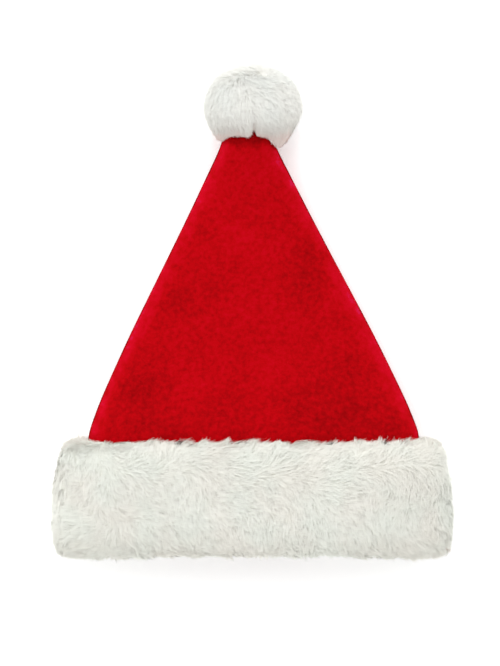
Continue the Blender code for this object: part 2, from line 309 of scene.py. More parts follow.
# Growing fur: every strand is a thin blade with a point and one bend, drawn towards its wisp and its lock.
def scatter(mesh, count, weigh, chance):
    mesh.calc_loop_triangles()
    corners = np.empty(len(mesh.loop_triangles) * 3, dtype=np.int32)
    mesh.loop_triangles.foreach_get("vertices", corners)
    corners = corners.reshape(-1, 3)
    places = vertexPlaces(mesh)
    normals = vertexNormals(mesh)
    first, second, third = (places[corners[:, k]] for k in range(3))
    areas = np.linalg.norm(np.cross(second - first, third - first), axis=1) / 2
    middles = (first + second + third) / 3
    faceNormals = unit(np.cross(second - first, third - first))
    weights = areas * weigh(middles, faceNormals)
    shares = np.cumsum(weights) / weights.sum()
    picked = np.searchsorted(shares, chance.random(count))
    u = chance.random(count)
    v = chance.random(count)
    over = u + v > 1
    u[over] = 1 - u[over]
    v[over] = 1 - v[over]
    w = 1 - u - v
    share = np.stack([w, u, v], axis=1)[:, :, None]
    roots = (places[corners[picked]] * share).sum(axis=1)
    ways = unit((normals[corners[picked]] * share).sum(axis=1))
    return roots, ways, weights.sum()


def nearestOf(places, centres):
    tree = KDTree(len(centres))
    for index, centre in enumerate(centres):
        tree.insert(centre, index)
    tree.balance()
    return np.array([tree.find(place)[1] for place in places])


def across(first, second):
    return (first * second).sum(axis=1, keepdims=True)


def bladeMesh(name, rows, widths, sides, normals, tones, keep, floor):
    # rows are the places along the strands from root to tip, the last row a point; the rest are pairs
    count = int(keep.sum())
    parts = []
    normalParts = []
    toneParts = []
    for index, row in enumerate(rows[:-1]):
        for way in (-1, 1):
            parts.append(row[keep] + way * sides[keep] * widths[index][keep, None])
            normalParts.append(normals[index][keep])
            toneParts.append(tones[index][keep])
    parts.append(rows[-1][keep])
    normalParts.append(normals[-1][keep])
    toneParts.append(tones[-1][keep])
    each = len(parts)
    places = np.stack(parts, axis=1).reshape(-1, 3)
    places[:, 2] = np.maximum(places[:, 2], floor)
    shadingNormals = np.stack(normalParts, axis=1).reshape(-1, 3)
    toneValues = np.stack(toneParts, axis=1).ravel()
    starts = np.arange(count) * each
    loops = []
    sizes = []
    for index in range(len(rows) - 2):
        a = 2 * index
        loops.append(np.stack([starts + a, starts + a + 1, starts + a + 3, starts + a + 2], axis=1))
        sizes.append(4)
    last = 2 * (len(rows) - 2)
    loops.append(np.stack([starts + last, starts + last + 1, starts + last + 2], axis=1))
    sizes.append(3)
    loopList = np.concatenate(loops, axis=1).ravel()
    sizeList = np.tile(np.array(sizes), count)
    startList = np.concatenate([[0], np.cumsum(sizeList)[:-1]])
    mesh = bpy.data.meshes.new(name)
    mesh.vertices.add(len(places))
    mesh.vertices.foreach_set("co", places.ravel())
    mesh.loops.add(len(loopList))
    mesh.loops.foreach_set("vertex_index", loopList.astype(np.int32))
    mesh.polygons.add(len(sizeList))
    mesh.polygons.foreach_set("loop_start", startList.astype(np.int32))
    mesh.polygons.foreach_set("loop_total", sizeList.astype(np.int32))
    mesh.update(calc_edges=True)
    mesh.validate()
    tone = mesh.attributes.new("tone", "FLOAT", "POINT")
    tone.data.foreach_set("value", toneValues)
    mesh.polygons.foreach_set("use_smooth", np.ones(len(sizeList), dtype=bool))
    mesh.normals_split_custom_set_from_vertices(shadingNormals.tolist())
    made = bpy.data.objects.new(name, mesh)
    bpy.context.scene.collection.objects.link(made)
    return made


def skinUnder(one, tree, spots):  # the skin's nearest place to each spot, and its direction there
    corners = np.array([(tuple(face.vertices) * 2)[:4] for face in one.data.polygons])
    nearest = [tree.find_nearest(spot) for spot in spots.tolist()]
    under = np.array([tuple(hit[0]) for hit in nearest])
    found = corners[[hit[2] for hit in nearest]]
    gaps = np.linalg.norm(vertexPlaces(one.data)[found] - under[:, None, :], axis=2)
    weights = 1 / (gaps + 0.2 * mm) ** 2
    return under, unit((vertexNormals(one.data)[found] * weights[:, :, None]).sum(axis=1))


def growFur(base, spec, weigh, napOf, lengthOf, toneOf, seed):
    # Returns the strands' rows, widths, sides, normals and tones, for bladeMesh to build in parts
    chance = np.random.default_rng(seed)
    roots, ways, area = scatter(base.data, spec["strands"], weigh, chance)
    count = len(roots)
    lockRoots = roots[chance.choice(count, spec["locks"], replace=False)]
    wispPick = chance.choice(count, spec["wisps"], replace=False)
    wispRoots = roots[wispPick]
    naps = napOf(roots, ways)
    lock = nearestOf(wispRoots, lockRoots)
    wisp = nearestOf(roots, wispRoots)
    lengths = lengthOf(roots) * chance.uniform(*spec["lengthSpread"], count)
    lockLength = chance.uniform(*spec["lockSpread"], spec["locks"])
    lockTurn = chance.normal(0, math.radians(spec["lockTurn"]), spec["locks"])
    wispTurn = chance.normal(0, math.radians(spec["wispTurn"]), spec["wisps"])
    wispLean = chance.normal(0, math.radians(spec["wispLean"]), spec["wisps"])
    lockOf = lock[wisp]
    lengths *= lockLength[lockOf]
    turn = lockTurn[lockOf] + wispTurn[wisp] + chance.normal(0, math.radians(spec["strandTurn"]), count)
    aside = unit(np.cross(ways, naps))
    naps = unit(naps * np.cos(turn)[:, None] + aside * np.sin(turn)[:, None])
    lean = wispLean[wisp] + chance.normal(0, math.radians(spec["strandLean"]), count)
    leans = [math.radians(angle) + lean for angle in spec["leans"]]
    rows = [roots - ways * spec["sunk"]]
    for angle, share in zip(leans, spec["shares"]):
        heading = ways * np.cos(angle)[:, None] + naps * np.sin(angle)[:, None]
        rows.append(rows[-1] + heading * (lengths * share)[:, None])
    skins = [ways] * len(rows)
    if spec["drape"] > 0:  # long fur lies round the skin's curves and takes the light like the skin under it
        tree = treeOf(base)
        height = -spec["sunk"]
        for index, (angle, share) in enumerate(zip(leans, spec["shares"]), start=1):
            height = height + lengths * share * np.cos(angle)
            under, skins[index] = skinUnder(base, tree, rows[index])
            rows[index] = rows[index] + (under + skins[index] * height[:, None] - rows[index]) * spec["drape"]
    # A wisp's strands meet near its leading strand's tip, and a lock's wisps near the lock's
    leaders = np.array(wispPick)
    for index, pull in enumerate(spec["pulls"], start=1):
        goal = rows[index][leaders][wisp]
        rows[index] = rows[index] + (goal - rows[index]) * (pull * chance.uniform(0.6, 1.1, count))[:, None]
    lockLeaders = nearestOf(lockRoots, wispRoots)
    for index, pull in enumerate(spec["lockPulls"], start=1):
        goal = rows[index][leaders][lockLeaders][lockOf]
        rows[index] = rows[index] + (goal - rows[index]) * pull
    heading = unit(rows[-1] - rows[1])
    sides = unit(np.cross(heading, ways))
    roll = chance.normal(0, math.radians(spec["roll"]), count)
    upward = unit(np.cross(sides, heading))
    sides = sides * np.cos(roll)[:, None] + upward * np.sin(roll)[:, None]
    skyward = np.array([0.0, 0.0, 1.0])  # fibres pass light on, so that their sides look less dark
    normals = []
    for index in range(len(rows)):
        near = rows[min(index + 1, len(rows) - 1)]
        far = rows[max(index - 1, 0)]
        along = unit(near - far)
        fromStrand = unit(ways - along * across(along, ways))
        lit = fromStrand * (1 - spec["soft"]) + skins[index] * spec["soft"] + skyward * spec["skyward"]
        normals.append(unit(lit))
    wide = spec["width"] * chance.uniform(0.7, 1.3, count)
    widths = [wide * share for share in spec["taper"]]
    level = toneOf(roots) + chance.normal(0, spec["toneSpread"], count)
    level += chance.normal(0, spec["toneSpread"], spec["wisps"])[wisp]
    level += chance.normal(0, spec["toneSpread"] * spec["lockTone"], spec["locks"])[lockOf]
    level += spec["fleckTone"] * (chance.random(count) < spec["flecks"])
    # Tones rise from root to tip along each strand: the darker roots are painted shade deep in the fur and
    # pile
    tones = [share + level for share in spec["tones"]]
    return {"rows": rows, "widths": widths, "sides": sides, "normals": normals, "tones": tones,
            "roots": roots, "ways": ways}


hollowTest = {"roots": 18 * mm, "cloth": 14 * mm, "reach": 9 * mm}  # in from the mouth, and near the cloth


def clearOfHollow(fur):  # strands that would come out inside the hat, past the mouth's lips, are left out
    keep = np.ones(len(fur["roots"]), dtype=bool)
    for index in np.flatnonzero(fur["roots"][:, 1] > brimLow.y + hollowTest["roots"]):
        for row in fur["rows"][1:]:
            spot, _, face, _ = crownTree.find_nearest(row[index].tolist(), hollowTest["reach"])
            if spot is not None and wrongSide[face] and spot.y > brimLow.y + hollowTest["cloth"]:
                keep[index] = False
    return keep


def buildPart(name, fur, keep, floor=0.0003):
    shape = [fur[key] for key in ("rows", "widths", "sides", "normals", "tones")]
    return bladeMesh(name, *shape, keep, floor)


print("stage: crown cloth")
crownCloth = copyOfNodes(["crown_front", "crown_back"], "crown_cloth")
applyModifier(crownCloth, "SUBSURF", {"levels": 2, "render_levels": 2})
crownFit = {"left": 1.012, "right": 1.030, "over": 0.014}  # what the smoothing took off at the side seams
insideTest = {"off": 0.5 * mm, "reach": 0.12, "inBand": 14 * mm}  # how cloth is known to face the hollow
places = vertexPlaces(crownCloth.data)
clear = np.clip((places[:, 1] - brimHigh.y) / crownFit["over"] + 1, 0, 1)  # not inside the band
sideFit = np.where(places[:, 0] < 0, crownFit["left"], crownFit["right"])
places[:, 0] *= 1 + (sideFit - 1) * clear
setPlaces(crownCloth.data, places)
print("crown vertices", len(places))
crownMaterial = plushMaterial("red_plush_pile", plushLook)
backing = backingMaterial("red_knit_backing", backingLook)
crownCloth.data.materials.append(crownMaterial)
crownCloth.data.materials.append(backing)


def facesHollow(tree, start, normal):  # a ray along the normal meets the cloth again close by
    return tree.ray_cast(start, normal, insideTest["reach"])[0] is not None


def markWrongSide(one):
    tree = treeOf(one)
    for face in one.data.polygons:
        start = face.center + face.normal * insideTest["off"]
        inBand = face.center.y < brimHigh.y - insideTest["inBand"]  # also the cut edge at the mouth
        face.material_index = 1 if inBand or facesHollow(tree, start, face.normal) else 0


markWrongSide(crownCloth)
crownCloth.data.shade_smooth()
edgeTrace = {"step": 4 * mm, "window": 6 * mm}
edgeSteps = np.arange(places[:, 1].min(), places[:, 1].max(), edgeTrace["step"])


def edgeLine(side):  # where the cloth turns under along one side seam
    window = edgeTrace["window"]
    rough = [(places[np.abs(places[:, 1] - step) < window, 0] * side).max() for step in edgeSteps]
    line = []
    heights = []
    for step, slope in zip(edgeSteps, np.gradient(rough, edgeSteps)):
        near = places[np.abs(places[:, 1] - step) < window]
        reach = near[:, 0] * side - slope * (near[:, 1] - step)
        line.append(reach.max() * side)
        heights.append(near[reach.argmax(), 2])
    return line, heights


# Painted sheen in a strip beside each side seam, and painted shade in the seam groove
edgeBand = {"seam": 1.6 * mm, "from": 2.2 * mm, "to": 17 * mm, "falloff": 1.4, "lift": 0.72, "drop": 1.6,
            "seamShadeBand": 3.0 * mm, "elsewhere": 0.22, "under": 4 * mm}
edgePatches = {"level": 0.75, "swing": 0.35, "wavelength": 0.013, "seed": 31, "least": 0.2, "most": 1.2}
edgeRight, rightHeights = edgeLine(1)
edgeLeft, leftHeights = edgeLine(-1)
plushPatches = [  # places where the pile lies another way, with painted sheen or painted shade
    {"x": -0.006, "y": -0.006, "reach": 0.045, "tone": 0.06},
    {"x": 0.044, "y": 0.048, "reach": 0.018, "tone": -0.14},
    {"x": -0.070, "y": 0.004, "reach": 0.017, "tone": -0.12},
    {"x": 0.074, "y": -0.068, "reach": 0.030, "tone": -0.12},
    {"x": -0.088, "y": -0.070, "reach": 0.032, "tone": -0.10},
    {"x": 0.000, "y": 0.112, "reach": 0.024, "tone": 0.10},
]
# Painted shade, darker towards the band (low), and a painted shadow under the pompom's fringe (tip)
plushShade = {"level": 0.35, "from": -0.050, "over": 0.045, "low": -0.08, "tip": -0.5, "tipReach": 0.009,
              "pastFringe": 7 * mm}


def plushPaintedLight(spots):  # painted sheen in a strip along both side seams, painted shade in the seam, patches of painted sheen and shade, painted shade towards the band and a painted shadow under the pompom
    right = np.interp(spots[:, 1], edgeSteps, edgeRight)
    left = np.interp(spots[:, 1], edgeSteps, edgeLeft)
    edge = np.minimum(right - spots[:, 0], spots[:, 0] - left)
    strip = rise(edge, 0, edgeBand["from"])
    strip = strip * fall(edge, edgeBand["to"], edgeBand["to"]) ** edgeBand["falloff"]
    patches = drift(spots, edgePatches["wavelength"], edgePatches["seed"])
    patchy = edgePatches["level"] + edgePatches["swing"] * patches
    patchy = np.clip(patchy, edgePatches["least"], edgePatches["most"])
    seamHeight = np.where(spots[:, 0] > 0, np.interp(spots[:, 1], edgeSteps, rightHeights),
                          np.interp(spots[:, 1], edgeSteps, leftHeights))
    offSeam = spots[:, 2] - seamHeight
    strip *= np.clip(1 + offSeam / edgeBand["under"], 0, 1)
    elsewhere = edgeBand["elsewhere"]
    seamShadeBand = elsewhere + (1 - elsewhere) * np.exp(-(offSeam / edgeBand["seamShadeBand"]) ** 2)
    # painted shade in the seam groove, strongest at the seam's height
    dark = np.clip(1 - edge / edgeBand["seam"], 0, 1) * seamShadeBand
    level = edgeBand["lift"] * strip * patchy - edgeBand["drop"] * dark
    for patch in plushPatches:
        distance = np.hypot(spots[:, 0] - patch["x"], spots[:, 1] - patch["y"]) / patch["reach"]
        level += patch["tone"] * np.exp(-distance ** 2)
    level += plushShade["low"] * fall(spots[:, 1], plushShade["from"], plushShade["over"])
    belowTip = fall(spots[:, 1], pompomLow.y + plushShade["pastFringe"], plushShade["tipReach"])
    return level + plushShade["tip"] * (1 - belowTip)


tone = crownCloth.data.attributes.new("tone", "FLOAT", "POINT")
tone.data.foreach_set("value", plushShade["level"] + plushPaintedLight(places))
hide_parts("crown_front", "crown_back")
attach(crownCloth, "root")

print("stage: brim base")
# The padded band under the fur: how deep it lies under the solid's skin in mm, and how much less at its rims,
# corners and short patch
brimPad = {"voxel": 0.0035, "smooth": 0.5, "rounds": 8, "deep": 4.5, "front": 2.2, "back": 1.0, "side": 2.2,
            "patch": 2.5, "corner": 6.0, "cornerFrom": (0.140, -0.135), "cornerOver": 0.02,
            "facingEnds": (0.3, 0.4), "facingSides": (0.4, 0.4), "clear": 2 * mm}
restPart = {"facing": -0.8, "below": 4 * mm, "deep": 1 * mm}  # what lies on the floor
shortFur = {"x": -0.134, "y": -0.119, "wide": 0.030, "long": 0.022, "shorter": 0.35}
brimBase = copyOfNodes(["fur_brim"], "brim_base")
applyModifier(brimBase, "REMESH", {"mode": "VOXEL", "voxel_size": brimPad["voxel"]})
applyModifier(brimBase, "SMOOTH", {"factor": brimPad["smooth"], "iterations": brimPad["rounds"]})


def shrinkTowards(one, neighbour, depthOf, leave):  # room for the fur, less close to the cloth
    tree = treeOf(neighbour)
    spots = vertexPlaces(one.data)
    headings = vertexNormals(one.data)
    depths = depthOf(spots, headings)
    gaps = np.array([tree.find_nearest(spot.tolist())[3] for spot in spots])
    resting = (headings[:, 2] < restPart["facing"]) & (spots[:, 2] < restPart["below"])
    depths = np.where(resting, restPart["deep"], depths)
    depths = np.minimum(depths, np.maximum(gaps - leave, 0))
    setPlaces(one.data, spots - headings * depths[:, None])


def shortPatch(spots):  # where the fur parts at the band's upper left, it is shorter
    sideways = (spots[:, 0] - shortFur["x"]) / shortFur["wide"]
    along = (spots[:, 1] - shortFur["y"]) / shortFur["long"]
    return np.exp(-sideways ** 2 - along ** 2)


def brimDepth(spots, headings):  # the band's upper corners stand out further
    cornerX, cornerY = brimPad["cornerFrom"]
    over = brimPad["cornerOver"]
    corner = rise(np.abs(spots[:, 0]), cornerX, over) * rise(spots[:, 1], cornerY, over)
    rim = brimPad["front"] * rise(-headings[:, 1], *brimPad["facingEnds"])
    rim = rim + brimPad["back"] * rise(headings[:, 1], *brimPad["facingEnds"])
    rim = rim + brimPad["side"] * rise(np.abs(headings[:, 0]), *brimPad["facingSides"])
    rim = rim + brimPad["patch"] * shortPatch(spots)
    return (brimPad["deep"] - brimPad["corner"] * corner - rim * (1 - corner)) * mm


shrinkTowards(brimBase, crownCloth, brimDepth, brimPad["clear"])
brimBase.data.shade_smooth()

print("stage: pompom base")
# The ball under the fur: its half sizes, how far it reaches below its middle at the sides, in front and
# underneath, and the pocket round the crown's tip
pompomBall = {"x": 0.0004, "y": 0.1735, "z": 0.0385, "wide": 0.0385, "deep": 0.0355, "above": 0.0334,
              "sides": 0.042, "front": 0.028, "under": 0.036, "columns": 72, "rings": 30, "clear": 1.5 * mm,
              "rest": 1.2 * mm, "lump": 0.5 * mm, "wavelength": 0.030,
              "notch": {"at": 87.5, "half": 4.5, "deep": 6 * mm},
              "step": 0.5, "near": 1.6, "tip": 3 * mm, "pocket": (0.12, 0.5, 1.0), "calm": 6 * mm}


def ballPoint(turn, around):  # turn from the top, around from +X towards the camera
    ball = pompomBall
    low = ball["front"] if math.sin(around) > 0 else ball["under"]
    offNotch = (math.degrees(around) - ball["notch"]["at"]) / ball["notch"]["half"]
    low -= ball["notch"]["deep"] * math.exp(-offNotch ** 2)
    below = low + (ball["sides"] - low) * math.cos(around) ** 6
    reach = ball["above"] if turn < math.pi / 2 else below
    x = ball["x"] + ball["wide"] * math.sin(turn) * math.cos(around)
    y = ball["y"] + reach * math.cos(turn)
    z = ball["z"] + ball["deep"] * math.sin(turn) * math.sin(around)
    return np.array([x, y, max(z, ball["rest"])])


def makePompomBase():
    tree = treeOf(crownCloth)
    ball = pompomBall
    spots = vertexPlaces(crownCloth.data)
    tipEnd = spots[:, 1].max()
    tipRing = spots[spots[:, 1] > tipEnd - ball["tip"]]
    tipMiddle = (tipRing.max(axis=0) + tipRing.min(axis=0)) / 2
    tipHalf = (tipRing.max(axis=0) - tipRing.min(axis=0)) / 2 + ball["clear"]
    made = [np.array([ball["x"], ball["y"] + ball["above"], ball["z"]])]
    steps = np.arange(math.pi / 2, math.pi, math.radians(ball["step"]))
    columns = []
    for column in range(ball["columns"]):
        around = 2 * math.pi * column / ball["columns"]
        last = math.pi / 2
        for turn in steps:  # down the side until the crown's cloth is close
            if tree.find_nearest(ballPoint(turn, around).tolist())[3] < ball["clear"] * ball["near"]:
                break
            last = turn
        turns = np.linspace(0, last, ball["rings"] + 1)[1:]
        line = [ballPoint(turn, around) for turn in turns]
        pocket = tipMiddle + tipHalf * np.array([math.cos(around), 0, math.sin(around)])
        pocket[1] = tipEnd + ball["clear"]
        for share in ball["pocket"]:
            line.append(line[ball["rings"] - 1] * (1 - share) + pocket * share)
        columns.append(line)
    each = ball["rings"] + len(ball["pocket"])
    for ring in range(each):
        made += [columns[column][ring] for column in range(ball["columns"])]
    made.append(tipMiddle + np.array([0, tipEnd + ball["clear"] - tipMiddle[1], 0]))
    faces = []
    wide = ball["columns"]
    for column in range(wide):
        after = (column + 1) % wide
        faces.append((0, 1 + after, 1 + column))
        for ring in range(each - 1):
            a = 1 + ring * wide
            faces.append((a + column, a + after, a + wide + after, a + wide + column))
        a = 1 + (each - 1) * wide
        faces.append((a + column, a + after, len(made) - 1))
    mesh = bpy.data.meshes.new("pompom_base")
    mesh.from_pydata([tuple(spot) for spot in made], [], faces)
    one = bpy.data.objects.new("pompom_base", mesh)
    bpy.context.scene.collection.objects.link(one)
    spots = vertexPlaces(mesh)
    gaps = np.array([tree.find_nearest(spot.tolist())[3] for spot in spots])
    outside = np.clip(gaps / ball["calm"], 0, 1)  # no lumps near the crown's cloth
    lumps = drift(spots, ball["wavelength"], 51) * ball["lump"] * outside
    spots = spots + vertexNormals(mesh) * lumps[:, None]
    spots[:, 2] = np.maximum(spots[:, 2], ball["rest"])
    setPlaces(mesh, spots)
    applyModifier(one, "SUBSURF", {"levels": 1, "render_levels": 1})
    one.data.shade_smooth()
    return one


pompomBase = makePompomBase()
pompomMiddle = (pompomLow + pompomHigh) / 2
pompomLength = pompomHigh.y - pompomLow.y

brimMaterial = furMaterial("brim_fur_white", brimFurLook)
pompomMaterial = furMaterial("pompom_fur_white", pompomFurLook)
# The skins under the fur take a tone near the root colour, as painted shade deep in the fur
for one, finish, node, slotName, skinShadeTone in (
    (brimBase, brimMaterial, "fur_brim", "brim_fur", 0.25),
    (pompomBase, pompomMaterial, "pompom", "pompom_fur", 0.0),
):
    one.data.materials.append(finish)
    level = one.data.attributes.new("tone", "FLOAT", "POINT")
    level.data.foreach_set("value", np.full(len(one.data.vertices), skinShadeTone))
    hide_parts(node)
    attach(one, "root")

print("stage: brim fur")
brimLength = brimHigh.y - brimLow.y
brimMiddle = (brimLow + brimHigh) / 2
brimHalf = (brimHigh - brimLow) / 2
crownTree = treeOf(crownCloth)
wrongSide = [face.material_index == 1 for face in crownCloth.data.polygons]

brimFur = {"drape": 0.75, "strands": 128000, "locks": 900, "wisps": 26000, "lengthSpread": (0.6, 1.2),
           "lockSpread": (0.88, 1.12), "lockTurn": 20, "wispTurn": 16, "wispLean": 5, "strandTurn": 16,
           "strandLean": 6, "leans": (64, 84), "shares": (0.5, 0.5), "pulls": (0.07, 0.22),
           "lockPulls": (0.03, 0.14), "sunk": 0.5 * mm, "roll": 20, "soft": 0.92, "skyward": 0.4,
           "width": 0.17 * mm, "taper": (1.0, 1.0), "tones": (0.5, 0.85, 1.0), "toneSpread": 0.04,
           "lockTone": 1.0, "flecks": 0.0, "fleckTone": 0.0}
brimPile = {"length": 12.5, "lessNearCrown": 3.5, "nearCrown": 0.16}  # in mm, and a share of the band
brimThin = {"under": -0.6, "underShare": 0.28, "side": 0.5, "sideShare": 1.5, "near": 7 * mm,
            "towards": 0.6}
tuftFur = {"length": 11.5 * mm, "drape": 0.3, "strands": 11000, "locks": 110, "wisps": 1500,
           "lengthSpread": (0.6, 1.15), "lockSpread": (0.65, 1.2),
           "lockTurn": 12, "wispTurn": 10, "wispLean": 6, "strandTurn": 8,
           "strandLean": 5, "leans": (56, 80), "shares": (0.5, 0.5), "pulls": (0.2, 0.6),
           "lockPulls": (0.08, 0.3), "sunk": 0.5 * mm, "roll": 20, "soft": 0.88, "skyward": 0.4,
           "width": 0.15 * mm, "taper": (1.0, 0.8), "tones": (0.5, 0.85, 1.0), "toneSpread": 0.07,
           "lockTone": 1.0, "flecks": 0.0, "fleckTone": 0.0}


def awayFromCrown(middles, normals):
    weights = np.ones(len(middles))
    for index in range(len(middles)):
        spot, _, _, distance = crownTree.find_nearest(middles[index].tolist())
        towards = (np.array(spot) - middles[index]) @ normals[index]
        if distance < brimThin["near"] and towards > brimThin["towards"] * distance:
            weights[index] = 0.0
    return weights


def brimWeight(middles, normals):
    weights = awayFromCrown(middles, normals)
    weights[normals[:, 2] < brimThin["under"]] *= brimThin["underShare"]
    weights[np.abs(normals[:, 0]) > brimThin["side"]] *= brimThin["sideShare"]
    return weights


def onSurface(way, normals):  # a direction laid flat on the skin
    return way - normals * across(way, normals)


# How the band's fur lies: pairs are a start and a width, as shares of the band's length from its top edge
brimSweep = {"parting": 0.24, "spread": 0.10, "sweep": 0.62, "topSweep": 0.5, "topPart": (0.30, 0.30),
             "leftEnd": 0.036, "turnOver": 0.030, "leftAngle": 125, "overMouth": (0.80, 0.20),
             "overTop": (0.10, 0.10), "inward": 0.25, "swirls": ((5, 0.085, 30), (6, 0.032, 20)),
             "calmMouth": (0.62, 0.2), "calmTop": (0.18, 0.1), "calm": (0.65, 0.4)}


def brimNap(spots, normals):
    # The fur parts along the band's upper quarter: above it turns up, below it turns to the mouth.
    # It also sweeps round the band, rightward on top and down at the right side. At the left end it falls
    # over the side.
    plan = brimSweep
    share = (brimHigh.y - spots[:, 1]) / brimLength
    rollIn = rise(share, *plan["overMouth"]) + fall(share, *plan["overTop"])
    inward = onSurface(np.tile([0.0, 0.0, -1.0], (len(spots), 1)), normals)
    mouthward = onSurface(np.tile([0.0, -1.0, 0.0], (len(spots), 1)), normals)
    around = np.arctan2((spots[:, 2] - brimMiddle.z) / brimHalf.z, (spots[:, 0] - brimMiddle.x) / brimHalf.x)
    level = np.zeros(len(spots))
    rightward = np.stack([brimHalf.x * np.sin(around), level, -brimHalf.z * np.cos(around)], axis=1)
    rightward = onSurface(unit(rightward), normals)
    sweep = plan["sweep"] + plan["topSweep"] * fall(share, *plan["topPart"])
    angle = np.arctan2(np.tanh((share - plan["parting"]) / plan["spread"]), sweep)
    leftEnd = fall(spots[:, 0], brimLow.x + plan["leftEnd"] + plan["turnOver"], plan["turnOver"])
    leftEnd = leftEnd ** 2 * (3 - 2 * leftEnd)
    angle = angle * (1 - leftEnd) + math.radians(plan["leftAngle"]) * leftEnd
    way = rightward * np.cos(angle)[:, None] + mouthward * np.sin(angle)[:, None]
    way = unit(way + inward * rollIn[:, None] * plan["inward"])
    atMouth, atTop = plan["calm"]
    calm = 1 - atMouth * rise(share, *plan["calmMouth"]) - atTop * fall(share, *plan["calmTop"])
    return turned(way, normals, swirlOf(spots, plan["swirls"]) * calm)


def tuftWeight(plan):  # tufts stand only in a strip along one edge of the band
    def weigh(middles, normals):
        share = (brimHigh.y - middles[:, 1]) / brimLength
        inStrip = (share > plan["from"]) * (share < plan["to"]) * (normals[:, 2] > plan["facing"])
        return awayFromCrown(middles, normals) * inStrip
    return weigh


def tuftLengths(spots):
    return np.full(len(spots), tuftFur["length"])


# The upper tufts over the red plush take painted red bounce light
def upperTuftBounce(spots):
    return np.full(len(spots), upperTufts["tone"])


def brimLengths(spots):
    share = (brimHigh.y - spots[:, 1]) / brimLength
    nearCrown = fall(share, brimPile["nearCrown"], brimPile["nearCrown"])
    lengths = brimPile["length"] - brimPile["lessNearCrown"] * nearCrown
    return lengths * (1 - shortFur["shorter"] * shortPatch(spots)) * mm


# Painted shade towards the mouth and the right end, and painted light at the left end: each place is a start,
# a width and a change of tone
brimShade = {"level": -0.02, "mouth": (0.66, 0.30, -0.62), "left": (-0.145, 0.02, 0.06),
             "right": (0.130, 0.03, -0.10)}


def brimPaintedLight(spots):  # the band turns darker towards its mouth and its right end
    share = (brimHigh.y - spots[:, 1]) / brimLength
    tones = brimShade["level"] + brimShade["mouth"][2] * rise(share, *brimShade["mouth"][:2])
    tones += brimShade["left"][2] * fall(spots[:, 0], *brimShade["left"][:2])
    return tones + brimShade["right"][2] * rise(spots[:, 0], *brimShade["right"][:2])


brimStrands = growFur(brimBase, brimFur, brimWeight, brimNap, brimLengths, brimPaintedLight, 21)
# the upper tufts' tone of -0.8 gives painted red bounce light from the plush
upperTufts = {"from": 0.015, "to": 0.10, "facing": -0.5, "tone": -0.8, "wisps": 2200, "pulls": (0.15, 0.5)}
lowerTufts = {"from": 0.74, "to": 0.97, "facing": -0.3, "strands": 17000, "wisps": 1500, "locks": 150,
              "leans": (54, 74), "toneSpread": 0.12}
for name, spec, toneOf, seed in (
    ("brim_tufts_upper", upperTufts, upperTuftBounce, 27),
    ("brim_tufts_lower", lowerTufts, brimPaintedLight, 28),
):
    tufts = growFur(brimBase, {**tuftFur, **spec}, tuftWeight(spec), brimNap, tuftLengths, toneOf, seed)
    piece = buildPart(name, tufts, clearOfHollow(tufts))
    piece.data.materials.append(brimMaterial)
    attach(piece, "root")
facingUp = 0.25
upper = brimStrands["ways"][:, 2] > facingUp
left = brimStrands["roots"][:, 0] < 0
clear = clearOfHollow(brimStrands)
print("strands left out inside the hat", int((~clear).sum()))
for name, keep in (
    ("brim_fur_upper_left", upper & left & clear),
    ("brim_fur_upper_right", upper & ~left & clear),
    ("brim_fur_under", ~upper & clear),
):
    piece = buildPart(name, brimStrands, keep)
    piece.data.materials.append(brimMaterial)
    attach(piece, "root")
    print(name, int(keep.sum()) * 3)

print("stage: pompom fur")
pompomFur = {"drape": 0.85, "strands": 58000, "locks": 150, "wisps": 14000, "lengthSpread": (0.7, 1.1),
             "lockSpread": (0.96, 1.04), "lockTurn": 5, "wispTurn": 8, "wispLean": 5, "strandTurn": 11,
             "strandLean": 7, "leans": (62, 84), "shares": (0.5, 0.5), "pulls": (0.06, 0.2),
             "lockPulls": (0.0, 0.05), "sunk": 0.5 * mm, "roll": 20, "soft": 0.93, "skyward": 0.45,
             "width": 0.15 * mm, "taper": (1.0, 1.0), "tones": (0.65, 0.92, 1.05), "toneSpread": 0.05,
             "lockTone": 0.8, "flecks": 0.0, "fleckTone": 0.0}


pompomSweep = {"whorl": (0.02, 0.74, 0.67), "swirls": ((9, 0.05, 24),), "loose": 0.16, "looseWave": 0.03,
               "looseSeeds": (41, 42, 43)}


def pompomNap(spots, normals):  # the fur falls away from a whorl at the top, a little loosely
    whorl = np.array([pompomSweep["whorl"]])
    away = normals * (normals @ whorl.T) - whorl
    loose = [drift(spots, pompomSweep["looseWave"], seed) for seed in pompomSweep["looseSeeds"]]
    way = unit(away + onSurface(np.stack(loose, axis=1), normals) * pompomSweep["loose"])
    return turned(way, normals, swirlOf(spots, pompomSweep["swirls"]))


fringeShape = [  # how the front edge's fur parts and gathers, along its width
    {"x": 0.0012, "half": 0.0030, "longer": -0.80},
    {"x": -0.0062, "half": 0.0040, "longer": 0.35},
    {"x": 0.0170, "half": 0.0040, "longer": 0.15},
    {"x": -0.0170, "half": 0.0050, "longer": -0.25},
    {"x": 0.0300, "half": 0.0070, "longer": -0.45},
]


# Lengths in mm at shares of the way down the pompom
pompomPile = {"shares": (0, 0.45, 0.6, 0.75, 1.0), "lengths": (12, 12, 9, 7, 5), "fringe": (0.60, 0.10)}
# Painted shade at the sides and towards the bottom, and painted red bounce light at the foot: each place is a
# start, a width and a change of tone
pompomShade = {"side": (0.020, 0.018, -0.20), "low": (0.42, 0.25, -0.40), "foot": (0.66, 0.18, -0.9)}


